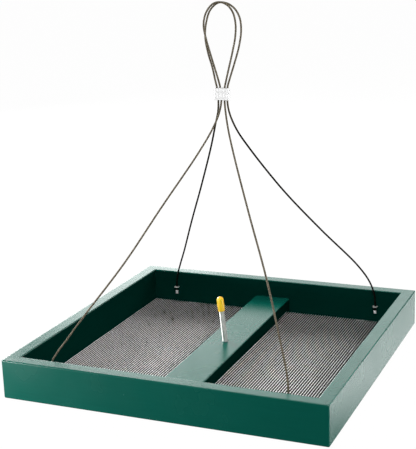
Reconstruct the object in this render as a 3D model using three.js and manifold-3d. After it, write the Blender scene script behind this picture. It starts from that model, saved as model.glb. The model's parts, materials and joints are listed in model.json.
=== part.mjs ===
// Hanging tray bird feeder: four mitred boards round a woven wire floor, a flat bar across the
// middle with a capped threaded spike, and two wire ropes that rise from the long walls, pass
// through one crimped ferrule and end in a pair of loops to hang it by.
// Millimetres. +Z up, +X right along the front wall, +Y to the back.
// The origin is on the ground, at the centre of the tray.

import * as THREE from 'three';
import { mergeVertices } from 'three/addons/utils/BufferGeometryUtils.js';
import Module from 'manifold-3d';

const wasm = await Module();
wasm.setup();

// ---- driving dimensions ----

const TRAY_SIDE = 381;          // 15 in square, outside
const BOARD_THICKNESS = 15.9;   // 5/8 in stock
const BOARD_HEIGHT = 45.4;
const EDGE_RADIUS = 1.2;        // eased long edges of every board
const CORNER_RADIUS = 1.6;      // eased upright edges of the tray
const GAP = 0.3;                // between neighbouring pieces

const RABBET_WIDTH = 6;         // step under the inner edge that takes the wire floor
const RABBET_DEPTH = 3.3;
const FLOOR_THICKNESS = 1;

const BAR_WIDTH = 47.6;
const BAR_TOP = 22.5;
const BAR_CENTRE_X = 2;
const BAR_SKEW = -0.012;        // sideways drift of the bar for each mm towards the back

const MITRE_DOWEL = { radius: 2.5, length: 12, heights: [13, 32] };
const BAR_DOWEL = { radius: 3, inWall: 9, inBar: 14, spread: 24 };
const MESH_STAPLE = { crown: 10, leg: 8, wire: 1.2, spacing: 120 };

const SPIKE_RADIUS = 3.175;     // 1/4 in rod
const SPIKE_HEIGHT = 52.6;      // rod above the bar, measured along the rod
const SPIKE_DEPTH = 14.5;       // rod inside the bar
const SPIKE_LEAN = THREE.MathUtils.degToRad(5.6);
const CAP_RADIUS = 4.3;
const CAP_BOTTOM = 38;
const CAP_TOP = 55.9;
const NUT = { flangeRadius: 9.5, flange: 1.4, barrelRadius: 4.7, barrel: 9, prong: 6 };

const ROPE_RADIUS = 1.2;        // 3/32 in (2.4 mm) wire rope
const ROPE_SIDES = 8;
const ROPE_STEPS_PER_POINT = 2;
const FERRULE = { x: 5.95, y: 2.6, bottom: 314.5, top: 328.3, width: 18.9, depth: 4.8, wall: 0.8 };
const CLAMP = { z: 24, wire: 1.8, leg: 9 };
const STOP = { radius: 2, bottom: 14.8, top: 19 };

// ---- worked out from them ----

const OUTER = TRAY_SIDE / 2;
const INNER = OUTER - BOARD_THICKNESS;
const BAR_BOTTOM = BAR_TOP - BOARD_THICKNESS;
const FLOOR_TOP = RABBET_DEPTH - GAP;
const FLOOR_BOTTOM = FLOOR_TOP - FLOOR_THICKNESS;
const FLOOR_SIDE = 2 * (INNER + RABBET_WIDTH - GAP);
const ROPE_OFFSET = INNER - GAP - STOP.radius;    // rope centre line where it lies on a wall

// ---- rope routes, end to end, as [x, y, z] ----

const BACK_ROUTE = [
  [-141, ROPE_OFFSET, 15.5], [-141, ROPE_OFFSET, 27], [-139.3, 171.6, 40], [-130, 162.5, 60],
  [-115.3, 145.8, 86], [-82.8, 102.3, 141], [-49.4, 61.6, 199], [-18.5, 24.2, 257],
  [-5.7, 8.9, 286], [0, 3.8, 302], [1.2, 2.6, 314], [-0.1, 2.6, 329], [-2.1, 3, 337],
  [-5.8, 4.5, 351.5], [-11, 6.2, 366.5], [-14.3, 6.6, 385], [-12.6, 6.6, 401],
  [-7, 6.6, 415.5], [3, 6.6, 423.3], [13.5, 6.6, 422.6], [22.5, 6.6, 416.8], [28.2, 6.6, 407],
  [29.7, 6.6, 393], [26.8, 6.5, 375.5], [21.6, 5.3, 357.5], [15.7, 3.1, 338.5], [13, 2.6, 329],
  [12.3, 2.6, 314], [13.7, 4.3, 300], [19, 11.3, 280], [28.6, 24, 257], [57, 61.6, 199],
  [90.3, 105.5, 141], [124.5, 150.2, 85], [136.2, 165, 60], [141, 171.5, 41],
  [142, ROPE_OFFSET, 28], [142, ROPE_OFFSET, 15.5],
];
const FRONT_ROUTE = [
  [-142, -ROPE_OFFSET, 15.5], [-142, -ROPE_OFFSET, 27], [-137.5, -168.2, 43],
  [-123.4, -151.3, 68], [-110.2, -135.5, 90], [-78.4, -97.4, 141], [-47, -59.9, 199],
  [-15, -21.6, 257], [-3.2, -7.3, 282], [2.8, -0.6, 299], [5, 2.6, 314], [3.9, 2.6, 329],
  [2.2, 2.2, 337], [-1.5, 0.6, 352], [-5.4, -1.1, 367.5], [-10, -1.4, 384.5],
  [-12.4, -1.4, 400], [-8.7, -1.4, 413.5], [-0.5, -1.4, 422.5], [8, -1.4, 424.5],
  [17, -1.4, 421.2], [23.5, -1.4, 413], [26.3, -1.4, 401], [25.6, -1.4, 386.5],
  [21.8, -1.2, 370], [16.6, 0.4, 353], [11.6, 2.3, 337], [9.6, 2.6, 329], [8.9, 2.6, 314],
  [10.6, 0.6, 301], [15.9, -6.2, 283], [27.3, -19.8, 257], [58.3, -56.6, 199],
  [91.8, -96.6, 141], [124.3, -142.7, 83], [135.5, -158.6, 60], [140.4, -168, 42],
  [141, -ROPE_OFFSET, 28], [141, -ROPE_OFFSET, 15.5],
];

// ---- materials ----

const finish = (color, roughness, metalness) =>
  new THREE.MeshStandardMaterial({ color, roughness, metalness });
const GREEN = finish(0x0b4a3c, 0.35, 0);
const DOWEL_WOOD = finish(0xc9a878, 0.8, 0);
const WIRE_FLOOR = finish(0x8a8a88, 0.4, 0.8);
const ZINC = finish(0xc4c6c4, 0.35, 1);
const STEEL_ROPE = finish(0x8d8678, 0.4, 0.9);
const ALUMINIUM = finish(0xececea, 0.45, 0.6);
const YELLOW_VINYL = finish(0xf5b82a, 0.4, 0);

// ---- solids ----

/** A closed geometry as a manifold solid that can be cut. */
function toSolid(geometry) {
  const bare = geometry.clone();
  bare.deleteAttribute('normal');
  bare.deleteAttribute('uv');
  const merged = mergeVertices(bare, 1e-5);
  return new wasm.Manifold(new wasm.Mesh({
    numProp: 3,
    vertProperties: merged.attributes.position.array,
    triVerts: new Uint32Array(merged.index.array),
  }));
}

function toGeometry(solid) {
  const mesh = solid.getMesh();
  const geometry = new THREE.BufferGeometry();
  geometry.setAttribute('position', new THREE.BufferAttribute(mesh.vertProperties, 3));
  geometry.setIndex(new THREE.BufferAttribute(mesh.triVerts, 1));
  geometry.computeVertexNormals();
  return geometry;
}

function cut(geometry, cutters) {
  return toGeometry(cutters.reduce((solid, c) => solid.subtract(toSolid(c)), toSolid(geometry)));
}

function join(geometries) {
  const [first, ...others] = geometries.map(toSolid);
  return toGeometry(others.reduce((solid, other) => solid.add(other), first));
}

/** Box from its lowest and highest corners. */
function block([x0, y0, z0], [x1, y1, z1]) {
  return new THREE.BoxGeometry(x1 - x0, y1 - y0, z1 - z0)
    .translate((x0 + x1) / 2, (y0 + y1) / 2, (z0 + z1) / 2);
}

/** Cylinder along a direction, centred on a point. */
function rod(radius, length, centre, direction, sides = 16) {
  const turn = new THREE.Quaternion().setFromUnitVectors(
    new THREE.Vector3(0, 1, 0), new THREE.Vector3(...direction).normalize());
  return new THREE.CylinderGeometry(radius, radius, length, sides)
    .applyQuaternion(turn).translate(...centre);
}

/** Rectangle with rounded corners, as a shape. */
function roundedRectangle(x0, y0, x1, y1, radius) {
  const shape = new THREE.Shape();
  shape.moveTo(x0 + radius, y0);
  shape.lineTo(x1 - radius, y0);
  shape.absarc(x1 - radius, y0 + radius, radius, -Math.PI / 2, 0);
  shape.lineTo(x1, y1 - radius);
  shape.absarc(x1 - radius, y1 - radius, radius, 0, Math.PI / 2);
  shape.lineTo(x0 + radius, y1);
  shape.absarc(x0 + radius, y1 - radius, radius, Math.PI / 2, Math.PI);
  shape.lineTo(x0, y0 + radius);
  shape.absarc(x0 + radius, y0 + radius, radius, Math.PI, 1.5 * Math.PI);
  return shape;
}

function extrude(shape, depth, curveSegments = 4) {
  return new THREE.ExtrudeGeometry(shape, { depth, bevelEnabled: false, curveSegments });
}

/** Profile of [radius, z] points turned round the Z axis. */
function lathe(profile, sides) {
  return new THREE.LatheGeometry(profile.map(([r, z]) => new THREE.Vector2(r, z)), sides)
    .rotateX(Math.PI / 2);
}

/** Board section (thickness across, height up) run along X, centred on x = 0. */
function runAlongX(shape, length) {
  const toX = new THREE.Matrix4().makeBasis(
    new THREE.Vector3(0, 1, 0), new THREE.Vector3(0, 0, 1), new THREE.Vector3(1, 0, 0));
  return extrude(shape, length).translate(0, 0, -length / 2).applyMatrix4(toX);
}

// ---- tray ----

/** Sockets for the dowels that cross the two mitres of the front board, or the dowels. */
function mitreRods(corner, clearance) {
  const middle = OUTER - BOARD_THICKNESS / 2;
  return MITRE_DOWEL.heights.map((z) => rod(MITRE_DOWEL.radius + clearance,
    MITRE_DOWEL.length + 2 * clearance, [corner * middle, -middle, z], [1, corner, 0]));
}

/** Dowels, or their sockets, between one end of the bar and the wall it meets. */
function barRods(end, clearance) {
  const { radius, inWall, inBar, spread } = BAR_DOWEL;
  const centreX = BAR_CENTRE_X + BAR_SKEW * end * INNER;
  const centreY = end * (INNER + (inWall - inBar) / 2);
  return [-spread / 2, spread / 2].map((x) => rod(radius + clearance,
    inWall + inBar + 2 * clearance, [centreX + x, centreY, BAR_TOP - BOARD_THICKNESS / 2],
    [0, 1, 0]));
}

/** Front board: rounded section, mitred ends, rabbet under the inner edge, dowel sockets. */
function mitredBoard() {
  const section = roundedRectangle(-OUTER, 0, -INNER, BOARD_HEIGHT, EDGE_RADIUS);
  const overrun = 5;
  const inset = (GAP / 2) * Math.SQRT2;
  const wedge = new THREE.Shape([
    new THREE.Vector2(-(OUTER + overrun - inset), -(OUTER + overrun)),
    new THREE.Vector2(OUTER + overrun - inset, -(OUTER + overrun)),
    new THREE.Vector2(INNER - overrun - inset, -(INNER - overrun)),
    new THREE.Vector2(-(INNER - overrun - inset), -(INNER - overrun)),
  ]);
  const outline = roundedRectangle(-OUTER, -OUTER, OUTER, OUTER, CORNER_RADIUS);
  const floorSeat = INNER + RABBET_WIDTH;
  const solid = toSolid(runAlongX(section, TRAY_SIDE))
    .intersect(toSolid(extrude(wedge, BOARD_HEIGHT)))
    .intersect(toSolid(extrude(outline, BOARD_HEIGHT)))
    .subtract(toSolid(block([-floorSeat, -floorSeat, -1], [floorSeat, floorSeat, RABBET_DEPTH])));
  const sockets = [...mitreRods(-1, GAP), ...mitreRods(1, GAP)];
  return cut(toGeometry(solid), sockets);
}

/** Where the three floor staples of one wall sit along it. */
const STAPLE_STATIONS = [-MESH_STAPLE.spacing, 0, MESH_STAPLE.spacing];

/** Floor staple under the front wall: a crown below the wire floor and two legs up. */
function meshStaple(station, clearance = 0) {
  const { crown, leg, wire } = MESH_STAPLE;
  const y = -(INNER + RABBET_WIDTH / 2);
  const half = wire / 2 + clearance;
  const crownTop = FLOOR_BOTTOM - GAP;
  const bar = block([station - crown / 2, y - wire / 2, crownTop - wire],
    [station + crown / 2, y + wire / 2, crownTop]);
  const legs = [-1, 1].map((side) => {
    const x = station + side * (crown - wire) / 2;
    return block([x - half, y - half, crownTop - wire / 2],
      [x + half, y + half, RABBET_DEPTH + leg + clearance]);
  });
  return clearance ? legs : join([bar, ...legs]);
}

/** Staple that clamps a rope to the front wall, or the sockets of its legs. */
function ropeClamp(x, clearance = 0) {
  const { z, wire, leg } = CLAMP;
  const crownY = -(ROPE_OFFSET - ROPE_RADIUS - GAP - wire / 2);
  const legX = ROPE_RADIUS + GAP + wire / 2;
  const half = wire / 2 + clearance;
  const crown = rod(wire / 2, 2 * legX, [x, crownY, z], [1, 0, 0], 10);
  const ends = [-1, 1].map((side) => block([x + side * legX - half, -(INNER + leg + clearance),
    z - half], [x + side * legX + half, crownY, z + half]));
  return clearance ? ends : join([crown, ...ends]);
}

/** Short sleeve crimped on a rope end, below its clamp. */
function ropeStop() {
  const bore = ROPE_RADIUS + GAP;
  const { radius, bottom, top } = STOP;
  return lathe([[bore, bottom], [radius, bottom], [radius, top], [bore, top], [bore, bottom]],
    14);
}

function wireFloor() {
  const half = FLOOR_SIDE / 2;
  const plate = block([-half, -half, FLOOR_BOTTOM], [half, half, FLOOR_TOP]);
  const legHoles = [0, 1, 2, 3].flatMap((quarter) => STAPLE_STATIONS.flatMap((station) =>
    meshStaple(station, GAP).map((leg) => leg.rotateZ(quarter * Math.PI / 2))));
  return cut(plate, legHoles);
}

// ---- bar and spike ----

/** Places a geometry made round the spike's own axis, with z = 0 at the bar's top face. */
function onSpike(geometry) {
  return geometry.rotateY(-SPIKE_LEAN).translate(BAR_CENTRE_X, 0, BAR_TOP);
}

/** Prong nut pressed up into the bar, or the pocket that it needs. */
function prongNut(clearance = 0) {
  const under = -BOARD_THICKNESS;
  const top = under + NUT.barrel + clearance;
  const barrel = NUT.barrelRadius + clearance;
  const flangeTop = under + clearance;
  const flangeBottom = under - NUT.flange - (clearance ? 3 : 0);
  const flangeRadius = NUT.flangeRadius + clearance;
  const inside = clearance ? 0 : SPIKE_RADIUS + GAP;
  const profile = [[inside, flangeBottom], [flangeRadius, flangeBottom],
    [flangeRadius, flangeTop], [barrel, flangeTop], [barrel, top], [inside, top]];
  const body = lathe(inside ? [...profile, profile[0]] : profile, 24);
  const half = { x: 0.6 + clearance, y: 1.7 + clearance };
  const prongs = [0, 1, 2, 3].map((quarter) => block(
    [NUT.flangeRadius - 2 - half.x, -half.y, flangeBottom + 0.2],
    [NUT.flangeRadius - 2 + half.x, half.y, under + NUT.prong + clearance])
    .rotateZ(Math.PI / 4 + quarter * Math.PI / 2));
  return join([body, ...prongs]);
}

function crossbar() {
  const half = BAR_WIDTH / 2;
  const section = roundedRectangle(-half, BAR_BOTTOM, half, BAR_TOP, EDGE_RADIUS);
  const length = 2 * (INNER - GAP);
  const toY = new THREE.Matrix4().makeBasis(
    new THREE.Vector3(-1, 0, 0), new THREE.Vector3(0, 0, 1), new THREE.Vector3(0, 1, 0));
  const skew = new THREE.Matrix4().makeShear(0, 0, BAR_SKEW, 0, 0, 0);
  const bar = extrude(section, length).translate(0, 0, -length / 2)
    .applyMatrix4(toY).applyMatrix4(skew).translate(BAR_CENTRE_X, 0, 0);
  const bore = rod(SPIKE_RADIUS + GAP, 3 * BOARD_THICKNESS, [0, 0, -BOARD_THICKNESS / 2],
    [0, 0, 1], 24);
  return cut(bar, [...barRods(-1, GAP), ...barRods(1, GAP), onSpike(bore),
    onSpike(prongNut(GAP))]);
}

function threadedSpike() {
  const chamfer = 0.9;
  return onSpike(lathe([[0, -SPIKE_DEPTH], [SPIKE_RADIUS, -SPIKE_DEPTH],
    [SPIKE_RADIUS, SPIKE_HEIGHT - chamfer], [SPIKE_RADIUS - chamfer, SPIKE_HEIGHT],
    [0, SPIKE_HEIGHT]], 24));
}

/** Push-on vinyl cap with a domed top, open at the bottom. */
function spikeCap() {
  const bore = SPIKE_RADIUS + GAP;
  const boreTop = SPIKE_HEIGHT + GAP;
  const domeFoot = CAP_TOP - CAP_RADIUS;
  const dome = [0, 1, 2, 3, 4, 5, 6].map((step) => {
    const angle = (step / 6) * Math.PI / 2;
    return [CAP_RADIUS * Math.cos(angle), domeFoot + CAP_RADIUS * Math.sin(angle)];
  });
  dome[dome.length - 1][0] = 0;
  return onSpike(lathe([[0, boreTop], [bore - 0.9, boreTop], [bore, boreTop - 0.9],
    [bore, CAP_BOTTOM], [CAP_RADIUS, CAP_BOTTOM], ...dome], 24));
}

// ---- ropes ----

/** Curve whose even steps follow its points, so that close points give close steps. */
class PointPacedCurve extends THREE.CatmullRomCurve3 {
  getPointAt(u, target) {
    return this.getPoint(u, target);
  }

  getTangentAt(u, target) {
    return this.getTangent(u, target);
  }
}

function rope(route) {
  const path = new PointPacedCurve(route.map((p) => new THREE.Vector3(...p)), false,
    'centripetal');
  const section = new THREE.Shape();
  section.absarc(0, 0, ROPE_RADIUS, 0, 2 * Math.PI);
  return new THREE.ExtrudeGeometry(section, {
    steps: ROPE_STEPS_PER_POINT * (route.length - 1),
    curveSegments: ROPE_SIDES,
    extrudePath: path,
  });
}

/** Flat sleeve crimped round the four rope parts. */
function ferrule() {
  const { x, y, bottom, top, width, depth, wall } = FERRULE;
  const shape = roundedRectangle(x - width / 2, y - depth / 2, x + width / 2, y + depth / 2,
    depth / 2 - 0.01);
  const slot = ROPE_RADIUS + GAP;
  shape.holes.push(roundedRectangle(x - width / 2 + wall, y - slot, x + width / 2 - wall,
    y + slot, slot - 0.01));
  return extrude(shape, top - bottom, 6).translate(0, 0, bottom);
}

// ---- assembly ----

const feeder = new THREE.Group();

function add(name, geometry, material, quarterTurns = 0) {
  const mesh = new THREE.Mesh(geometry, material.clone());
  mesh.name = name;
  mesh.rotation.z = quarterTurns * Math.PI / 2;
  feeder.add(mesh);
}

const WALLS = ['front', 'right', 'back', 'left'];    // each a quarter turn on from the last
const ROPE_ENDS = {
  front: { left: FRONT_ROUTE[0][0], right: FRONT_ROUTE.at(-1)[0] },
  back: { left: BACK_ROUTE[0][0], right: BACK_ROUTE.at(-1)[0] },
};

const plainBoard = mitredBoard();
const floorLegs = STAPLE_STATIONS.flatMap((station) => meshStaple(station, GAP));

WALLS.forEach((wall, quarter) => {
  const carriesRope = wall in ROPE_ENDS;
  const facing = wall === 'back' ? -1 : 1;
  const clampHoles = carriesRope
    ? Object.values(ROPE_ENDS[wall]).flatMap((x) => ropeClamp(facing * x, GAP)) : [];
  const barHoles = carriesRope
    ? barRods(-facing, GAP).map((hole) => hole.rotateZ(wall === 'back' ? -Math.PI : 0)) : [];
  add(`${wall}_wall`, cut(plainBoard, [...floorLegs, ...clampHoles, ...barHoles]), GREEN,
    quarter);
  mitreRods(1, 0).forEach((dowel, i) => {
    add(`corner_dowel_${wall}_${i + 1}`, dowel, DOWEL_WOOD, quarter);
  });
  STAPLE_STATIONS.forEach((station, i) => {
    add(`mesh_staple_${wall}_${i + 1}`, meshStaple(station), ZINC, quarter);
  });
  if (!carriesRope) return;
  barRods(-facing, 0).forEach((dowel, i) => {
    add(`bar_dowel_${wall}_${i + 1}`, dowel, DOWEL_WOOD);
  });
  for (const [side, x] of Object.entries(ROPE_ENDS[wall])) {
    add(`rope_clamp_${wall}_${side}`, ropeClamp(facing * x), ZINC, quarter);
    add(`rope_stop_${wall}_${side}`, ropeStop().translate(x, -facing * ROPE_OFFSET, 0),
      ALUMINIUM);
  }
});

add('mesh_floor', wireFloor(), WIRE_FLOOR);
add('crossbar', crossbar(), GREEN);
add('prong_nut', onSpike(prongNut()), ZINC);
add('threaded_spike', threadedSpike(), ZINC);
add('spike_cap', spikeCap(), YELLOW_VINYL);
add('back_rope', rope(BACK_ROUTE), STEEL_ROPE);
add('front_rope', rope(FRONT_ROUTE), STEEL_ROPE);
add('ferrule', ferrule(), ALUMINIUM);

export default feeder;
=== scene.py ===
"""Looks for the hanging tray bird feeder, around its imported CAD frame."""

import json
from math import atan2, ceil, cos, pi, radians, sin, sqrt

import bmesh
import bpy
import numpy as np
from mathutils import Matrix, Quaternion, Vector


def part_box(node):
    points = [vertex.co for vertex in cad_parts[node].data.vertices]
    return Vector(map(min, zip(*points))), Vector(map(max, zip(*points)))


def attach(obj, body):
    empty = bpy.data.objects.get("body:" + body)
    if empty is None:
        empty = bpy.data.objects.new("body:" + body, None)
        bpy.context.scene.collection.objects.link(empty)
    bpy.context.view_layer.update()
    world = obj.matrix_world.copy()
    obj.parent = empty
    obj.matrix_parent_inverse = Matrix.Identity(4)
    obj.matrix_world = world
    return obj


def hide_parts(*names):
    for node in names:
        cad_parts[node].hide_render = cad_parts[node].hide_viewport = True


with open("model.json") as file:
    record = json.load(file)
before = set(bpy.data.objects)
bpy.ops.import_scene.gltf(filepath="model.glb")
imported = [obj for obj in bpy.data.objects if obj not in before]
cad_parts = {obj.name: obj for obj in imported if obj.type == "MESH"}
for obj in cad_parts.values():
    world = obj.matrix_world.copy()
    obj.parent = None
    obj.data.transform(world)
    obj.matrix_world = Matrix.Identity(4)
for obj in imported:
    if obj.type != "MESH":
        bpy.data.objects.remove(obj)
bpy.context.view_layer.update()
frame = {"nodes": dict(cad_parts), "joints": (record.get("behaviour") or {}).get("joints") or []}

MM = 0.001

# ---- sizes, from the frame ----

FRONT_LOW, FRONT_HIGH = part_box("front_wall")
FLOOR_LOW, FLOOR_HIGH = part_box("mesh_floor")
BAR_LOW, BAR_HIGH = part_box("crossbar")
FERRULE_LOW, FERRULE_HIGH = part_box("ferrule")

OUTER = -FRONT_LOW.y                     # half the tray's side
THICK = FRONT_HIGH.y - FRONT_LOW.y       # of a board
HEIGHT = FRONT_HIGH.z
EDGE_RADIUS = 1.4 * MM
CORNER_RADIUS = 1.8 * MM
RABBET_WIDTH = 6 * MM
RABBET_DEPTH = FLOOR_HIGH.z + 0.3 * MM

WIRE_PITCH = 25.4 / 8 * MM               # eight meshes to the inch
LONG_WIRE_RADIUS = 0.42 * MM
CROSS_WIRE_RADIUS = 0.15 * MM
LONG_WIRE_WAVE = 0.04 * MM               # how far a wire rises and dips at each crossing
CROSS_WIRE_WAVE = 0.27 * MM              # pressed into the lengthwise wires where they cross
WIRE_SIDES = 6

SPIKE_AXIS = Vector(frame["joints"][0]["axis"]).normalized()
SPIKE_FOOT = Vector((2 * MM, 0, BAR_HIGH.z))    # where the spike's axis leaves the bar
SPIKE_RADIUS = 3.175 * MM
SPIKE_HOLE = SPIKE_RADIUS + 0.3 * MM
BAR_CENTRE_X = 2 * MM
BAR_SKEW = -0.012                        # sideways drift of the bar towards the back
SPIKE_DEPTH = 14.5 * MM
SPIKE_HEIGHT = 52.6 * MM
THREAD_PITCH = 1.27 * MM
THREAD_DEPTH = 0.62 * MM
CAP_RADIUS = 4.3 * MM
CAP_BOTTOM = 38.0 * MM
CAP_TOP = 55.9 * MM
CAP_BORE = SPIKE_RADIUS + 0.3 * MM

ROPE_RADIUS = 1.18 * MM                  # just inside the CAD rope, so the loops stay in its box
ROPE_LAY = 9 * MM                        # one turn of the strands
ROPE_STRANDS = 6
ROPE_STEP = 0.9 * MM
FERRULE_WALL = 0.8 * MM
CLAMP_WIRE = 0.9 * MM                    # radius

CAMERA_PLACE = (0.48423, -1.15207, 0.49395)
CAMERA_DIRECTION = Vector((-0.38519, 0.88768, -0.25231))
CAMERA_ROLL = -1.906                     # degrees
CAMERA_LENS = 88.07                      # millimetres, on a sensor 36 wide

FLOOR_SIDE = 30.0                        # metres
FLOOR_DROP = 0.3 * MM                    # the white floor below the tray
CARD_DROP = 0.1 * MM                     # the dark card between the tray and the floor: a painted shadow, seen through the wire floor
LIGHT_AIM = Vector((0, 0, 0.03))
LIGHT_REACH = 2.0                        # metres

# ---- rope routes, end to end, in millimetres: the same as in the CAD model ----

WALL_LIE = 172.3                         # rope centre line where it lies on a wall
BACK_ROUTE = [
    (-141, WALL_LIE, 15.5), (-141, WALL_LIE, 27), (-139.3, 171.6, 40), (-130, 162.5, 60),
    (-115.3, 145.8, 86), (-82.8, 102.3, 141), (-49.4, 61.6, 199), (-18.5, 24.2, 257),
    (-5.7, 8.9, 286), (0, 3.8, 302), (1.2, 2.6, 314), (-0.1, 2.6, 329), (-2.1, 3, 337),
    (-5.8, 4.5, 351.5), (-11, 6.2, 366.5), (-14.3, 6.6, 385), (-12.6, 6.6, 401),
    (-7, 6.6, 415.5), (3, 6.6, 423.3), (13.5, 6.6, 422.6), (22.5, 6.6, 416.8), (28.2, 6.6, 407),
    (29.7, 6.6, 393), (26.8, 6.5, 375.5), (21.6, 5.3, 357.5), (15.7, 3.1, 338.5),
    (13, 2.6, 329), (12.3, 2.6, 314), (13.7, 4.3, 300), (19, 11.3, 280), (28.6, 24, 257),
    (57, 61.6, 199), (90.3, 105.5, 141), (124.5, 150.2, 85), (136.2, 165, 60),
    (141, 171.5, 41), (142, WALL_LIE, 28), (142, WALL_LIE, 15.5),
]
FRONT_ROUTE = [
    (-142, -WALL_LIE, 15.5), (-142, -WALL_LIE, 27), (-137.5, -168.2, 43),
    (-123.4, -151.3, 68), (-110.2, -135.5, 90), (-78.4, -97.4, 141), (-47, -59.9, 199),
    (-15, -21.6, 257), (-3.2, -7.3, 282), (2.8, -0.6, 299), (5, 2.6, 314), (3.9, 2.6, 329),
    (2.2, 2.2, 337), (-1.5, 0.6, 352), (-5.4, -1.1, 367.5), (-10, -1.4, 384.5),
    (-12.4, -1.4, 400), (-8.7, -1.4, 413.5), (-0.5, -1.4, 422.5), (8, -1.4, 424.5),
    (17, -1.4, 421.2), (23.5, -1.4, 413), (26.3, -1.4, 401), (25.6, -1.4, 386.5),
    (21.8, -1.2, 370), (16.6, 0.4, 353), (11.6, 2.3, 337), (9.6, 2.6, 329), (8.9, 2.6, 314),
    (10.6, 0.6, 301), (15.9, -6.2, 283), (27.3, -19.8, 257), (58.3, -56.6, 199),
    (91.8, -96.6, 141), (124.3, -142.7, 83), (135.5, -158.6, 60), (140.4, -168, 42),
    (141, -WALL_LIE, 28), (141, -WALL_LIE, 15.5),
]


# ---- camera, floor and light ----

def aim(obj, at, roll=0.0):
    """Points an object's -Z at a place, then rolls it about its own Z, in degrees."""
    obj.rotation_mode = "QUATERNION"
    look = (Vector(at) - obj.location).to_track_quat("-Z", "Y")
    obj.rotation_quaternion = look @ Quaternion((0, 0, 1), radians(roll))


def make_camera():
    camera = bpy.data.objects.new("camera", bpy.data.cameras.new("camera"))
    bpy.context.scene.collection.objects.link(camera)
    camera.location = CAMERA_PLACE
    camera.data.sensor_width = 36
    camera.data.lens = CAMERA_LENS
    aim(camera, camera.location + CAMERA_DIRECTION, roll=CAMERA_ROLL)
    bpy.context.scene.camera = camera


def plane(name, side, z):
    half = side / 2
    mesh = bpy.data.meshes.new(name)
    mesh.from_pydata([(-half, -half, z), (half, -half, z), (half, half, z), (-half, half, z)],
                     [], [(0, 1, 2, 3)])
    obj = bpy.data.objects.new(name, mesh)
    bpy.context.scene.collection.objects.link(obj)
    return obj


def softbox(name, bearing, rise, width, height, power, reach=LIGHT_REACH):
    """Soft light aimed at the tray: bearing is degrees anticlockwise from straight behind."""
    light = bpy.data.lights.new(name, "AREA")
    light.shape = "RECTANGLE"
    light.size, light.size_y = width, height
    light.energy = power
    obj = bpy.data.objects.new(name, light)
    bpy.context.scene.collection.objects.link(obj)
    turn, up = radians(bearing), radians(rise)
    out = Vector((-sin(turn) * cos(up), cos(turn) * cos(up), sin(up)))
    obj.location = LIGHT_AIM + reach * out
    obj.visible_camera = False
    aim(obj, LIGHT_AIM)


def studio_sky():
    """White to the camera, and a faint fill to everything else. The fill has a bright horizon
    behind, is dim in front and below, and has a pale card low at the front left."""
    world = bpy.data.worlds.new("studio")
    bpy.context.scene.world = world
    m = Nodes(world)
    m.tree.nodes.clear()
    direction = m.add("TexCoord").outputs["Generated"]

    def toward(place, *stops):
        """Brightness by how near a direction is to a place: -1 is opposite, 1 is there."""
        near = m.add("VectorMath", operation="DOT_PRODUCT")
        near.inputs[1].default_value = Vector(place).normalized()
        m.join(direction, near.inputs[0])
        return m.ramp(m.span(near.outputs["Value"], 0, 1, -1, 1),
                      *(((at + 1) / 2, level) for at, level in stops))

    horizon = toward((-0.41, 0.86, 0.3), (-1, 0.01), (-0.4, 0.015), (0, 0.08), (0.3, 0.3),
                     (0.57, 0.55), (0.9, 0.85), (1, 1.0))
    height = toward((0, 0, 1), (-1, 0.01), (-0.7, 0.03), (-0.5, 0.9), (-0.4, 1), (0.26, 1),
                    (0.32, 0.85), (0.38, 0.6), (0.5, 0.35), (0.7, 0.25), (1, 0.2))
    card = toward((-0.66, -0.62, -0.40), (-1, 0), (0.94, 0), (0.96, 0.08), (0.972, 0.25),
                  (0.982, 0.5), (1, 0.6))
    front = toward((-0.2, -0.75, 0.63), (-1, 0), (0.1, 0), (0.5, 0.15), (1, 0.25))
    light = m.mix(1.0, m.mix(1.0, horizon, height, "MULTIPLY"), card, "ADD")
    light = m.mix(1.0, light, front, "ADD")
    studio = m.add("Background")
    studio.inputs["Strength"].default_value = 0.1
    m.join(light, studio.inputs["Color"])
    white = m.add("Background")
    white.inputs["Color"].default_value = (1, 1, 1, 1)
    seen = m.add("LightPath")
    choose = m.add("MixShader")
    m.join(seen.outputs["Is Camera Ray"], choose.inputs["Fac"])
    m.join(studio.outputs[0], choose.inputs[1])
    m.join(white.outputs[0], choose.inputs[2])
    m.join(choose.outputs[0], m.add("OutputWorld").inputs["Surface"])


# ---- materials ----

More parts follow.
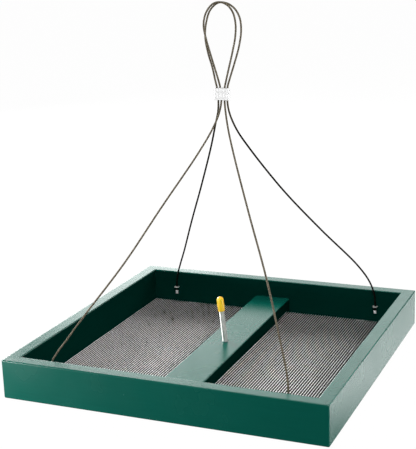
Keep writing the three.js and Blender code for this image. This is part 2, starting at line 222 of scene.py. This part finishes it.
class Nodes:
    """Nodes of a material or a world, with short calls to add and join them."""

    def __init__(self, owner):
        self.material = bpy.data.materials.new(owner) if isinstance(owner, str) else owner
        self.material.use_nodes = True
        self.tree = self.material.node_tree
        self.shader = self.tree.nodes.get("Principled BSDF")

    def add(self, kind, **settings):
        node = self.tree.nodes.new("ShaderNode" + kind)
        for key, value in settings.items():
            setattr(node, key, value)
        return node

    def join(self, output, target):
        self.tree.links.new(output, target)

    def place(self, stretch=(1, 1, 1)):
        """Object coordinates in metres, scaled along each axis."""
        coordinates = self.add("TexCoord")
        mapping = self.add("Mapping")
        mapping.inputs["Scale"].default_value = stretch
        self.join(coordinates.outputs["Object"], mapping.inputs["Vector"])
        return mapping.outputs[0]

    def noise(self, scale, detail=3.0, stretch=(1, 1, 1), distortion=0.0):
        node = self.add("TexNoise")
        node.inputs["Scale"].default_value = scale
        node.inputs["Detail"].default_value = detail
        node.inputs["Distortion"].default_value = distortion
        self.join(self.place(stretch), node.inputs["Vector"])
        return node.outputs["Fac"]

    def ramp(self, value, *stops):
        """Colour by value: each stop is a position and a grey level or a colour."""
        node = self.add("ValToRGB")
        elements = node.color_ramp.elements
        for i, (at, colour) in enumerate(stops):
            stop = elements[i] if i < 2 else elements.new(at)
            stop.position = at
            level = (colour,) * 3 if isinstance(colour, (int, float)) else colour
            stop.color = (*level, 1)
        self.join(value, node.inputs["Fac"])
        return node.outputs["Color"]

    def mix(self, factor, a, b, blend="MIX"):
        node = self.add("Mix", data_type="RGBA", blend_type=blend)
        for socket, value in ((node.inputs[0], factor), (node.inputs[6], a), (node.inputs[7], b)):
            if isinstance(value, bpy.types.NodeSocket):
                self.join(value, socket)
            elif isinstance(value, (int, float)):
                socket.default_value = value
            else:
                socket.default_value = (*value, 1)
        return node.outputs[2]

    def span(self, value, low, high, from_low=0.3, from_high=0.7):
        """A value between from_low and from_high, moved to between low and high."""
        node = self.add("MapRange")
        for key, number in (("From Min", from_low), ("From Max", from_high), ("To Min", low),
                            ("To Max", high)):
            node.inputs[key].default_value = number
        self.join(value, node.inputs["Value"])
        return node.outputs["Result"]

    def bump(self, *heights):
        """Stacks bumps: each is a height value, its distance in metres and its strength."""
        normal = None
        for value, distance, strength in heights:
            node = self.add("Bump")
            node.inputs["Distance"].default_value = distance
            node.inputs["Strength"].default_value = strength
            self.join(value, node.inputs["Height"])
            if normal is not None:
                self.join(normal, node.inputs["Normal"])
            normal = node.outputs["Normal"]
        self.join(normal, self.shader.inputs["Normal"])

    def set(self, **values):
        """Sets the shader's own sockets: numbers and colours stay there, outputs are joined."""
        for key, value in values.items():
            socket = self.shader.inputs[key.replace("_", " ")]
            if isinstance(value, bpy.types.NodeSocket):
                self.join(value, socket)
            elif socket.type == "RGBA":
                socket.default_value = (*value, 1)
            else:
                socket.default_value = value
        return self.material


def green_board(name, along, shade=1.0, gloss=0.5, rough=0.24):
    """Dark green semi-gloss finish over a faint grain that runs along the board."""
    m = Nodes(name)
    # a shade below 1 darkens every colour: painted shade, for the faces inside the tray
    low, high, streak = (tuple(shade * c for c in colour) for colour in
                         ((0.0010, 0.080, 0.058), (0.0012, 0.088, 0.064), (0.003, 0.104, 0.077)))
    stretch = (0.05, 1, 1) if along == "x" else (1, 0.05, 1)
    grain = m.noise(420, 4, stretch, 0.4)
    cloud = m.noise(12, 3)
    deep = m.ramp(cloud, (0.3, low), (0.7, high))
    streaked = m.mix(m.span(grain, 0.0, 0.3), deep, streak)
    m.bump((m.noise(160, 2, stretch), 0.00005, 0.05))
    return m.set(Base_Color=streaked, IOR=1.5, Specular_IOR_Level=gloss,
                 Roughness=m.span(m.noise(30, 2), rough, rough + 0.04))


def bright_metal(name, dark, light, rough_low, rough_high, scale=500, metallic=1.0, edge=1.0):
    m = Nodes(name)
    spots = m.noise(scale, 4)
    m.bump((m.noise(scale * 4, 2), 0.00002, 0.4))
    return m.set(Base_Color=m.ramp(spots, (0.35, dark), (0.65, light)), Metallic=metallic,
                 Roughness=m.span(spots, rough_low, rough_high), Specular_Tint=(edge,) * 3)


def rope_steel(name, painted_leg_shade):
    """Dull oiled steel strands, without bright edges; painted shade can darken the legs under the
    ferrule.
    """
    m = Nodes(name)
    oil = m.noise(900, 4)
    steel = m.ramp(oil, (0.35, (0.06, 0.05, 0.035)), (0.65, (0.20, 0.175, 0.13)))
    height = m.add("SeparateXYZ")
    m.join(m.place(), height.inputs[0])
    # painted shade: darker from the ferrule's top down to 40 mm under it, and fully dark below that
    shade = m.ramp(m.span(height.outputs["Z"], 0, 1, FERRULE_LOW.z - 40 * MM, FERRULE_HIGH.z),
                   (0, painted_leg_shade), (1, 1.0))
    m.bump((m.noise(3600, 2), 0.00002, 0.4))
    return m.set(Base_Color=m.mix(1.0, steel, shade, "MULTIPLY"), Metallic=0.1,
                 Roughness=m.span(oil, 0.5, 0.65), Specular_IOR_Level=0.06,
                 Specular_Tint=(0.2, 0.2, 0.2))


def yellow_vinyl():
    m = Nodes("yellow_vinyl")
    cloud = m.noise(160, 3)
    dust = m.noise(1400, 3)
    colour = m.ramp(cloud, (0.3, (0.97, 0.54, 0.014)), (0.7, (1.0, 0.63, 0.022)))
    m.bump((dust, 0.00004, 0.3))
    return m.set(Base_Color=colour, Roughness=m.span(dust, 0.32, 0.46), IOR=1.5,
                 Subsurface_Weight=0.35, Subsurface_Radius=(1.0, 0.4, 0.05),
                 Subsurface_Scale=0.002)


def dowel_wood():
    m = Nodes("dowel_wood")
    rings = m.noise(900, 4, (1, 1, 0.1))
    m.bump((rings, 0.00008, 0.4))
    return m.set(Base_Color=m.ramp(rings, (0.3, (0.42, 0.27, 0.13)), (0.7, (0.62, 0.45, 0.25))),
                 Roughness=m.span(rings, 0.6, 0.8))


def stage_white():
    """Pale floor, with a little light of its own so that it meets the white background."""
    m = Nodes("pale_floor")
    return m.set(Base_Color=(0.02, 0.02, 0.02), Roughness=0.9, Specular_IOR_Level=0.0,
                 Emission_Color=(1, 1, 1), Emission_Strength=0.985)


# Painted shadow: a dark card under the tray that shows as shade through the wire floor.
def stage_painted_shadow():
    m = Nodes("painted_shadow_card")
    return m.set(Base_Color=(0.02, 0.02, 0.02), Roughness=0.9, Specular_IOR_Level=0.0)


# ---- mesh building ----

def build(name, points, faces, material, smooth=True, sharp=None):
    """A mesh object from numpy points in metres and lists or an array of faces."""
    mesh = bpy.data.meshes.new(name)
    mesh.from_pydata([tuple(p) for p in np.asarray(points, float)], [],
                     [tuple(int(i) for i in f) for f in faces])
    mesh.validate()
    mesh.materials.append(material)
    mesh.polygons.foreach_set("use_smooth", [smooth] * len(mesh.polygons))
    if sharp is not None:
        mesh.set_sharp_from_angle(angle=radians(sharp))
    mesh.update()
    obj = bpy.data.objects.new(name, mesh)
    bpy.context.scene.collection.objects.link(obj)
    return obj


def even_normals(obj):
    """Keeps flat faces flat next to their narrow rounded edges."""
    modifier = obj.modifiers.new("even normals", "WEIGHTED_NORMAL")
    modifier.keep_sharp = True


def arc(centre, radius, start, end, steps):
    """Points of an arc in a plane, from start to end in degrees."""
    angles = np.radians(np.linspace(start, end, steps + 1))
    return [(centre[0] + radius * cos(a), centre[1] + radius * sin(a)) for a in angles]


def grid_faces(rows, columns, closed=True):
    """Quads over a grid of rows of points, each row closed round or open."""
    across = columns if closed else columns - 1
    r, c = np.meshgrid(np.arange(rows - 1), np.arange(across), indexing="ij")
    nxt = (c + 1) % columns
    quads = np.stack([r * columns + c, r * columns + nxt,
                      (r + 1) * columns + nxt, (r + 1) * columns + c], -1)
    return quads.reshape(-1, 4)


def tube_mesh(rings):
    """Points and faces of a tube through rings of points, closed at both ends by caps."""
    rows, columns = rings.shape[:2]
    faces = [tuple(f) for f in grid_faces(rows, columns)]
    faces.append(tuple(range(columns))[::-1])
    faces.append(tuple(range((rows - 1) * columns, rows * columns)))
    return rings.reshape(-1, 3), faces


def travelling_frames(path):
    """Unit tangents and two normals along a path, turned as little as possible."""
    tangents = np.gradient(path, axis=0)
    tangents /= np.linalg.norm(tangents, axis=1)[:, None]
    side = np.cross(tangents[0], (0.3, 0.5, 0.81))
    sides = []
    for t in tangents:
        side = side - t * (side @ t)
        side = side / np.linalg.norm(side)
        sides.append(side)
    sides = np.array(sides)
    return tangents, sides, np.cross(tangents, sides)


def lathe_mesh(profile, sides, axis=Vector((0, 0, 1)), foot=Vector((0, 0, 0))):
    """Points and faces turned round an axis. A profile that starts and ends off the axis closes."""
    turn = Vector((0, 0, 1)).rotation_difference(axis)
    angles = np.arange(sides) / sides * 2 * pi
    points = []
    for radius, z in profile:
        points += [foot + turn @ Vector((radius * cos(a), radius * sin(a), z)) for a in angles]
    rows = len(profile)
    faces = [tuple(f) for f in grid_faces(rows, sides)]
    return points, faces, rows


# ---- tray ----

def board_section():
    """Outline of a wall board: depth in from the outer face, and height."""
    r, t, h = EDGE_RADIUS, THICK, HEIGHT
    small = 0.5 * MM
    step = t - RABBET_WIDTH
    return [
        *arc((r, r), r, 180, 270, 5),
        *arc((step - small, small), small, -90, 0, 2),
        (step, RABBET_DEPTH),
        *arc((t - small, RABBET_DEPTH + small), small, -90, 0, 2),
        *arc((t - r, h - r), r, 0, 90, 5),
        *arc((r, h - r), r, 90, 180, 5),
    ]


def wall(side, quarter):
    """One board with mitred ends, whose outer upright edge is rounded into its neighbour's."""
    seam = 0.02 * MM
    section = board_section()
    turns = [45, 30, 15, 0]
    stations = [(-1, a) for a in turns] + [(1, a) for a in reversed(turns)]
    rings = []
    for end, angle in stations:
        a = radians(angle)
        ring = []
        for depth, z in section:
            reach, inward = OUTER - depth, depth
            if depth < CORNER_RADIUS:
                reach = OUTER - CORNER_RADIUS + (CORNER_RADIUS - depth) * sin(a)
                inward = CORNER_RADIUS - (CORNER_RADIUS - depth) * cos(a)
            ring.append((end * (reach - seam), -OUTER + inward, z))
        rings.append(ring)
    points, faces = tube_mesh(np.array(rings))
    obj = build(f"{side}_board", points, faces, MATERIALS["green_x"])
    tidy_seams(obj)
    obj.data.materials.append(MATERIALS["inside_x"])
    # painted shade: the inner face above the rabbet gets the darker, glossless copy of the finish
    for face in obj.data.polygons:
        face.material_index = int(face.normal.y > 0.9 and face.center.z > RABBET_DEPTH)
    obj.rotation_euler.z = quarter * pi / 2
    even_normals(obj)
    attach(obj, "tray")
    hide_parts(f"{side}_wall")


def tidy_seams(obj, sharp=40):
    """Joins points that fall together, and marks the sharp edges."""
    bm = bmesh.new()
    bm.from_mesh(obj.data)
    bmesh.ops.remove_doubles(bm, verts=bm.verts, dist=0.001 * MM)
    bmesh.ops.recalc_face_normals(bm, faces=bm.faces)
    bm.to_mesh(obj.data)
    bm.free()
    obj.data.set_sharp_from_angle(angle=radians(sharp))


def keep_node(name, material, bevel=0.0, sharp=35):
    """A CAD node that stays, with a better material and softer edges."""
    obj = frame["nodes"][name]
    obj.data.materials.clear()
    obj.data.materials.append(material)
    obj.data.polygons.foreach_set("use_smooth", [True] * len(obj.data.polygons))
    obj.data.set_sharp_from_angle(angle=radians(sharp))
    if bevel:
        modifier = obj.modifiers.new("eased edges", "BEVEL")
        modifier.width = bevel
        modifier.segments = 2
        modifier.limit_method = "ANGLE"
        modifier.angle_limit = radians(sharp)
    even_normals(obj)


def woven_wires(name, along, radius, wave, material):
    """One set of the floor's wires, whose wave changes side at each crossing."""
    half = (FLOOR_HIGH.x - FLOOR_LOW.x) / 2 - 0.3 * MM
    count = int(2 * half / WIRE_PITCH)
    middle = (FLOOR_LOW.z + FLOOR_HIGH.z) / 2
    lines = (np.arange(count) - (count - 1) / 2) * WIRE_PITCH
    turn = np.arange(WIRE_SIDES) / WIRE_SIDES * 2 * pi
    steps = np.concatenate([[-half], lines, [half]])
    over = np.concatenate([[0], (-1.0) ** np.arange(count), [0]])
    points, faces = [], []
    for i, line in enumerate(lines):
        rings = np.empty((len(steps), WIRE_SIDES, 3))
        across = line + radius * np.cos(turn)
        rings[..., 0 if along == "y" else 1] = across
        rings[..., 1 if along == "y" else 0] = steps[:, None]
        rings[..., 2] = (middle + wave * (-1) ** i * over)[:, None] + radius * np.sin(turn)
        wire_points, wire_faces = tube_mesh(rings)
        start = i * len(wire_points)
        points.append(wire_points)
        faces += [tuple(start + v for v in f) for f in wire_faces]
    obj = build(name, np.concatenate(points), faces, material)
    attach(obj, "tray")
    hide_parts("mesh_floor")


def crossbar():
    """Flat bar on a slight skew, with rounded edges and a clean hole for the spike."""
    length = BAR_HIGH.y - BAR_LOW.y
    drift = -BAR_SKEW * length
    half = (BAR_HIGH.x - BAR_LOW.x - drift) / 2
    r, low, high = EDGE_RADIUS, BAR_LOW.z, BAR_HIGH.z
    steps = 4                             # in each rounded edge
    outline = [*arc((-half + r, low + r), r, 180, 270, steps),
               *arc((half - r, low + r), r, 270, 360, steps),
               *arc((half - r, high - r), r, 0, 90, steps),
               *arc((-half + r, high - r), r, 90, 180, steps)]
    hole = 40                             # sides of the hole
    reach = 14 * MM                       # of the faces that hold the hole, each way
    rows = []
    for y in (BAR_LOW.y, -reach, reach, BAR_HIGH.y):
        rows.append([(BAR_CENTRE_X + BAR_SKEW * y + x, y, z) for x, z in outline])
    count = len(outline)
    points = [p for row in rows for p in row]
    faces = []
    top_edge = 3 * (steps + 1) - 1        # last point of the right upper corner
    under_edge = steps                    # last point of the left lower corner
    for a in (0, 1, 2):
        for c in range(count):
            n = (c + 1) % count
            if a == 1 and c in (top_edge, under_edge):
                continue
            faces.append((a * count + c, a * count + n, (a + 1) * count + n, (a + 1) * count + c))
    faces.append(tuple(range(count))[::-1])
    faces.append(tuple(range(3 * count, 4 * count)))
    lean = SPIKE_AXIS.x / SPIKE_AXIS.z
    rims = {}
    for name, z, c in (("top", high, top_edge), ("under", low, under_edge)):
        n = (c + 1) % count
        corners = [count + c, count + n, 2 * count + n, 2 * count + c]
        centre = (SPIKE_FOOT.x + lean * (z - SPIKE_FOOT.z), 0)
        start = len(points)
        points += [(x, y, z) for x, y in
                   arc(centre, SPIKE_HOLE, 0, 360 - 360 / hole, hole - 1)]
        ring = rims[name] = list(range(start, start + hole))
        corner_at = {}
        for v in corners:
            x, y, _ = points[v]
            angle = atan2(y, x - centre[0]) % (2 * pi)
            corner_at[round(angle / (2 * pi) * hole) % hole] = v
        spots = sorted(corner_at)
        for a, b in zip(spots, spots[1:] + [spots[0] + hole]):
            inner = [ring[k % hole] for k in range(a, b + 1)]
            faces.append((corner_at[a], *inner, corner_at[b % hole])[::-1])
    top, under = rims["top"], rims["under"]
    faces += [(top[k], top[(k + 1) % hole], under[(k + 1) % hole], under[k]) for k in range(hole)]
    obj = build("bar", points, faces, MATERIALS["green_y"])
    tidy_seams(obj)
    # painted shade: both upright sides of the bar get the darker, glossless copy of the finish
    obj.data.materials.append(MATERIALS["inside_y"])
    for face in obj.data.polygons:
        face.material_index = int(abs(face.normal.x) > 0.9)
    even_normals(obj)
    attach(obj, "tray")
    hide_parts("crossbar")


# ---- spike ----

def threaded_spike():
    """Rod with a real helical thread, and a chamfer at its tip."""
    per_pitch, sides = 8, 32
    length = SPIKE_DEPTH + SPIKE_HEIGHT
    rows = ceil(length / THREAD_PITCH * per_pitch)
    chamfer = 0.9 * MM
    z = np.linspace(-SPIKE_DEPTH, SPIKE_HEIGHT, rows)
    angle = np.arange(sides) / sides * 2 * pi
    phase = (z[:, None] / THREAD_PITCH - angle[None] / (2 * pi)) % 1
    notch = np.clip(np.abs(phase - 0.5) * 2.6 - 0.25, 0, 1)
    radius = SPIKE_RADIUS - THREAD_DEPTH * notch
    tip = SPIKE_RADIUS - np.clip(z - (SPIKE_HEIGHT - chamfer), 0, None)
    radius = np.minimum(radius, tip[:, None])
    turn = np.array(Vector((0, 0, 1)).rotation_difference(SPIKE_AXIS).to_matrix())
    rings = np.stack([radius * np.cos(angle), radius * np.sin(angle),
                      np.broadcast_to(z[:, None], radius.shape)], -1)
    rings = rings @ turn.T + np.array(SPIKE_FOOT)
    points, faces = tube_mesh(rings)
    obj = build("spike_thread", points, faces, MATERIALS["zinc"], sharp=60)
    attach(obj, "spike")
    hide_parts("threaded_spike")


def spike_cap():
    """Dipped vinyl cap: soft rolled mouth, slightly barrelled wall and a domed end."""
    lip = 0.35 * MM
    wall_top = CAP_TOP - CAP_RADIUS
    barrel = 0.12 * MM
    pinhole = 0.02 * MM                  # radius left open on the axis, closed by a face
    chamfer = 0.9 * MM
    sides, wall_steps = 48, 8
    outside = []
    for k in range(wall_steps + 1):
        u = k / wall_steps
        z = CAP_BOTTOM + 2 * lip + u * (wall_top - CAP_BOTTOM - 2 * lip)
        outside.append((CAP_RADIUS - barrel * (1 - sin(pi * u)), z))
    dome = [(r if r > 1e-6 else pinhole, z)
            for r, z in arc((0, wall_top), CAP_RADIUS - barrel, 8, 90, 10)]
    mouth = arc((CAP_RADIUS - barrel - lip, CAP_BOTTOM + lip), lip, -90, 0, 3)
    bore_top = SPIKE_HEIGHT + 0.35 * MM
    inside = [(pinhole, bore_top), (CAP_BORE - chamfer, bore_top),
              (CAP_BORE, bore_top - chamfer), (CAP_BORE, CAP_BOTTOM + lip)]
    points, faces, rows = lathe_mesh([*inside, *mouth, *outside, *dome], sides, SPIKE_AXIS,
                                     SPIKE_FOOT)
    faces.append(tuple(range(sides)))
    faces.append(tuple(range((rows - 1) * sides, rows * sides))[::-1])
    obj = build("vinyl_cap", points, faces, MATERIALS["vinyl"])
    tidy_seams(obj, 50)
    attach(obj, "cap")
    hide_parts("spike_cap")


# ---- ropes ----

def smooth_route(route, step):
    """Centripetal curve through the route's points, as even steps in metres."""
    p = np.array(route, float) * MM
    p = np.vstack([2 * p[0] - p[1], p, 2 * p[-1] - p[-2]])
    dense = []
    for a, b, c, d in zip(p, p[1:], p[2:], p[3:]):
        knots = np.cumsum([0, *(sqrt(np.linalg.norm(y - x)) for x, y in ((a, b), (b, c), (c, d)))])
        t = np.linspace(knots[1], knots[2], 60, endpoint=False)[:, None]
        t0, t1, t2, t3 = knots
        ab = ((t1 - t) * a + (t - t0) * b) / (t1 - t0)
        bc = ((t2 - t) * b + (t - t1) * c) / (t2 - t1)
        cd = ((t3 - t) * c + (t - t2) * d) / (t3 - t2)
        abc = ((t2 - t) * ab + (t - t0) * bc) / (t2 - t0)
        bcd = ((t3 - t) * bc + (t - t1) * cd) / (t3 - t1)
        dense.append(((t2 - t) * abc + (t - t1) * bcd) / (t2 - t1))
    dense = np.vstack([*dense, p[-2:-1]])
    walked = np.r_[0, np.cumsum(np.linalg.norm(np.diff(dense, axis=0), axis=1))]
    even = np.linspace(0, walked[-1], ceil(walked[-1] / step))
    return np.stack([np.interp(even, walked, dense[:, k]) for k in range(3)], -1), walked[-1]


def strand_outline():
    """Radius round a rope of six strands laid on a core, as a share of its own radius."""
    per_strand = 4
    valley = 0.84                        # the grooves are no deeper than this
    shares = []
    for k in range(ROPE_STRANDS * per_strand):
        off = abs((k % per_strand) - 2) * pi / (per_strand * ROPE_STRANDS) * 2
        strand = sqrt(max((1 / 3) ** 2 - (2 / 3 * sin(off)) ** 2, 0))
        shares.append(max(2 / 3 * cos(off) + strand, valley))
    return np.array(shares)


def wire_rope(name, node, route, material):
    """A laid wire rope: six strands that wind round the route."""
    path, length = smooth_route(route, ROPE_STEP)
    _, sides, ups = travelling_frames(path)
    outline = strand_outline() * ROPE_RADIUS
    around = np.arange(len(outline)) / len(outline) * 2 * pi
    walked = np.linspace(0, length, len(path))
    angle = around[None] + (walked / ROPE_LAY * 2 * pi)[:, None]
    rings = path[:, None] + (sides[:, None] * (outline * np.cos(angle))[..., None]
                             + ups[:, None] * (outline * np.sin(angle))[..., None])
    points, faces = tube_mesh(rings)
    obj = build(name, points, faces, material)
    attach(obj, "tray")
    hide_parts(node)


def ferrule():
    """Flat aluminium sleeve pressed on the four rope parts, with two rows of press marks."""
    centre = (FERRULE_LOW + FERRULE_HIGH) / 2
    half_width = (FERRULE_HIGH.x - FERRULE_LOW.x) / 2
    half_depth = (FERRULE_HIGH.y - FERRULE_LOW.y) / 2
    bore = ROPE_RADIUS + 0.3 * MM
    bore_width = half_width - FERRULE_WALL
    lip_radius = 0.35 * MM
    press_depth = 0.42 * MM
    wave_depth = 0.12 * MM               # the ropes show through the flat sides
    rope_spacing = 1.95 * MM             # half of a wave
    rows, per_side, per_flat = 28, 16, 24

    def outline(width, depth):
        straight = width - depth
        right = arc((straight, 0), depth, -90, 90, per_side)
        left = arc((-straight, 0), depth, 90, 270, per_side)
        top = [(straight - k / per_flat * 2 * straight, depth) for k in range(1, per_flat)]
        bottom = [(-straight + k / per_flat * 2 * straight, -depth) for k in range(1, per_flat)]
        return np.array([*right, *top, *left, *bottom])

    height = FERRULE_HIGH.z - FERRULE_LOW.z
    outer, inner = outline(half_width, half_depth), outline(bore_width, bore)
    rings = []
    for k in range(rows + 1):
        u = k / rows
        ease = min(u, 1 - u) * height
        lip = lip_radius - sqrt(max(0, lip_radius ** 2 - max(0, lip_radius - ease) ** 2))
        squeeze = press_depth * max(0, sin(pi * u)) ** 0.5 * (0.5 - 0.5 * cos(4 * pi * u)) ** 2
        ring = outer.copy()
        flat = np.clip(1 - (np.abs(ring[:, 0]) / half_width) ** 6, 0, 1)
        waves = wave_depth * np.cos(ring[:, 0] / rope_spacing * pi)
        ring[:, 1] -= np.sign(ring[:, 1]) * (lip + squeeze * flat - waves * flat * sin(pi * u))
        ring[:, 0] -= np.sign(ring[:, 0]) * lip
        rings.append(np.column_stack([ring, np.full(len(ring), FERRULE_LOW.z + u * height)]))
    for z in (FERRULE_HIGH.z - 0.05 * MM, FERRULE_LOW.z + 0.05 * MM):
        rings.append(np.column_stack([inner, np.full(len(inner), z)]))
    rings = np.array(rings)
    rings[..., 0] += centre.x
    rings[..., 1] += centre.y
    count, columns = rings.shape[:2]
    faces = [tuple(f) for f in grid_faces(count, columns)]
    last = (count - 1) * columns
    faces += [(last + c, last + (c + 1) % columns, (c + 1) % columns, c) for c in range(columns)]
    obj = build("pressed_ferrule", rings.reshape(-1, 3), faces, MATERIALS["aluminium"])
    tidy_seams(obj, 50)
    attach(obj, "tray")
    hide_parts("ferrule")


def rope_stop(wall_name, side):
    """Crimped sleeve on a rope end, pinched twice."""
    node = f"rope_stop_{wall_name}_{side}"
    low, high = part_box(node)
    foot = Vector(((low.x + high.x) / 2, (low.y + high.y) / 2, low.z))
    radius, length = (high.x - low.x) / 2, high.z - low.z
    bore = ROPE_RADIUS + 0.15 * MM
    steps, sides = 12, 20
    profile = [(bore, 0)]
    for k in range(steps + 1):
        u = k / steps
        edge = 0.25 * MM * max(0, 1 - min(u, 1 - u) * 8)
        pinch = 0.22 * MM * (0.5 - 0.5 * cos(4 * pi * u))
        profile.append((radius - edge - pinch, u * length))
    profile += [(bore, length), (bore, 0)]
    points, faces, _ = lathe_mesh(profile, sides, foot=foot)
    obj = build(f"rope_sleeve_{wall_name}_{side}", points, faces, MATERIALS["aluminium"])
    tidy_seams(obj, 50)
    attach(obj, "tray")
    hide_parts(node)
    return obj


def rope_clamp(wall_name, side):
    """Round wire staple across a rope, driven into the wall."""
    node = f"rope_clamp_{wall_name}_{side}"
    low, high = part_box(node)
    inward = -1 if wall_name == "back" else 1
    crown_y = (high.y if inward > 0 else low.y) - inward * CLAMP_WIRE
    wall_y = inward * (THICK - OUTER) - inward * 2 * MM
    x0, x1 = low.x + CLAMP_WIRE, high.x - CLAMP_WIRE
    z, bend = (low.z + high.z) / 2, 0.9 * MM
    path = [(x0, wall_y)]
    corner = arc((0, 0), bend, 180, 90, 5)
    path += [(x0 + bend + dx, crown_y - inward * (bend - dy)) for dx, dy in corner]
    path += [(x1 - bend - dx, crown_y - inward * (bend - dy)) for dx, dy in reversed(corner)]
    path.append((x1, wall_y))
    path = np.array([(x, y, z) for x, y in path])
    _, sides, ups = travelling_frames(path)
    around = 12
    turn = np.arange(around) / around * 2 * pi
    rings = path[:, None] + CLAMP_WIRE * (sides[:, None] * np.cos(turn)[:, None]
                                          + ups[:, None] * np.sin(turn)[:, None])
    points, faces = tube_mesh(rings)
    obj = build(f"clamp_wire_{wall_name}_{side}", points, faces, MATERIALS["zinc"])
    tidy_seams(obj, 60)
    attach(obj, "tray")
    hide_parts(node)


# ---- assembly ----

bpy.context.scene.view_settings.view_transform = "Standard"
make_camera()
studio_sky()

MATERIALS = {
    "green_x": green_board("green_board", "x"),
    "green_y": green_board("green_bar", "y", gloss=0.32),
    # much darker and without gloss, in place of the deep shade inside the tray
    "inside_x": green_board("green_board_painted_shade", "x", 0.33, 0.0, 0.5),
    "inside_y": green_board("green_bar_painted_shade", "y", 0.22, 0.0, 0.5),
    "long_wires": bright_metal("woven_wire", (0.90, 0.90, 0.90), (0.98, 0.98, 0.98), 0.28, 0.36),
    # painted shade: crosswise wires of the same steel, made far darker than the lengthwise ones
    "painted_shade_cross_wires": bright_metal("woven_cross_wire_painted_shade", (0.10, 0.10, 0.10), (0.16, 0.16, 0.16), 0.5,
                                0.6, edge=0.1),
    "zinc": bright_metal("zinc_plate", (0.60, 0.61, 0.59), (0.80, 0.81, 0.78), 0.55, 0.66,
                          edge=0.3),
    "rope": rope_steel("rope_steel", 1.0),
    # the back rope's legs get painted shade under the ferrule
    "painted_shade_rope": rope_steel("rope_steel_painted_shade", 0.06),
    "aluminium": bright_metal("pale_aluminium", (0.78, 0.78, 0.78), (0.88, 0.88, 0.88), 0.45,
                              0.5, 700, 0.1),
    "vinyl": yellow_vinyl(),
    "wood": dowel_wood(),
}

for quarter, side in enumerate(("front", "right", "back", "left")):
    wall(side, quarter)
    for k in (1, 2, 3):
        keep_node(f"mesh_staple_{side}_{k}", MATERIALS["zinc"], bevel=0.3 * MM)
    for k in (1, 2):
        keep_node(f"corner_dowel_{side}_{k}", MATERIALS["wood"])
crossbar()
keep_node("prong_nut", MATERIALS["zinc"], bevel=0.15 * MM)
woven_wires("floor_wires_lengthwise", "y", LONG_WIRE_RADIUS, LONG_WIRE_WAVE,
            MATERIALS["long_wires"])
# the crosswise wires carry painted shade
woven_wires("floor_wires_crosswise", "x", CROSS_WIRE_RADIUS,
            -CROSS_WIRE_WAVE, MATERIALS["painted_shade_cross_wires"])
threaded_spike()
spike_cap()
ferrule()
for wall_name, node, route in (("back", "back_rope", BACK_ROUTE),
                               ("front", "front_rope", FRONT_ROUTE)):
    for k in (1, 2):
        keep_node(f"bar_dowel_{wall_name}_{k}", MATERIALS["wood"])
    ends = [rope_stop(wall_name, side) for side in ("left", "right")]
    for side in ("left", "right"):
        rope_clamp(wall_name, side)
    finish = MATERIALS["rope" if wall_name == "front" else "painted_shade_rope"]
    wire_rope(f"{wall_name}_wire_rope", node, route, finish)

floor = plane("floor", FLOOR_SIDE, -FLOOR_DROP)
floor.data.materials.append(stage_white())
# painted shadow: a dark card under the tray, in place of the shade beneath the wire floor
card = plane("painted_shadow_card", 2 * OUTER - 5 * MM, -CARD_DROP)
card.data.materials.append(stage_painted_shadow())
for staging in (floor, card):
    staging.visible_glossy = False
    staging.visible_diffuse = False
    staging.visible_shadow = False

# name, bearing and rise in degrees, width and height in metres, power in watts
softbox("back_high", 16, 22, 1.5, 0.7, 6.2)
softbox("back_left_low", 37, 6, 1.0, 0.5, 9)
softbox("left_mid", 60, 18, 0.8, 0.4, 90)
softbox("back_under", 0, -18, 1.0, 0.5, 4.8)
softbox("back_right_under", 320, -18, 1.0, 0.5, 6.8)
softbox("back_right_mid", 320, 20, 1.0, 0.5, 7.9)
softbox("right_low", 265, -8, 1.8, 0.54, 37)
softbox("front_right_high", 208, 50, 0.8, 0.5, 22)
softbox("overhead", 0, 89, 1.6, 1.6, 15)
softbox("front_left_low", 135, 0, 0.25, 0.08, 4.2, reach=0.72)
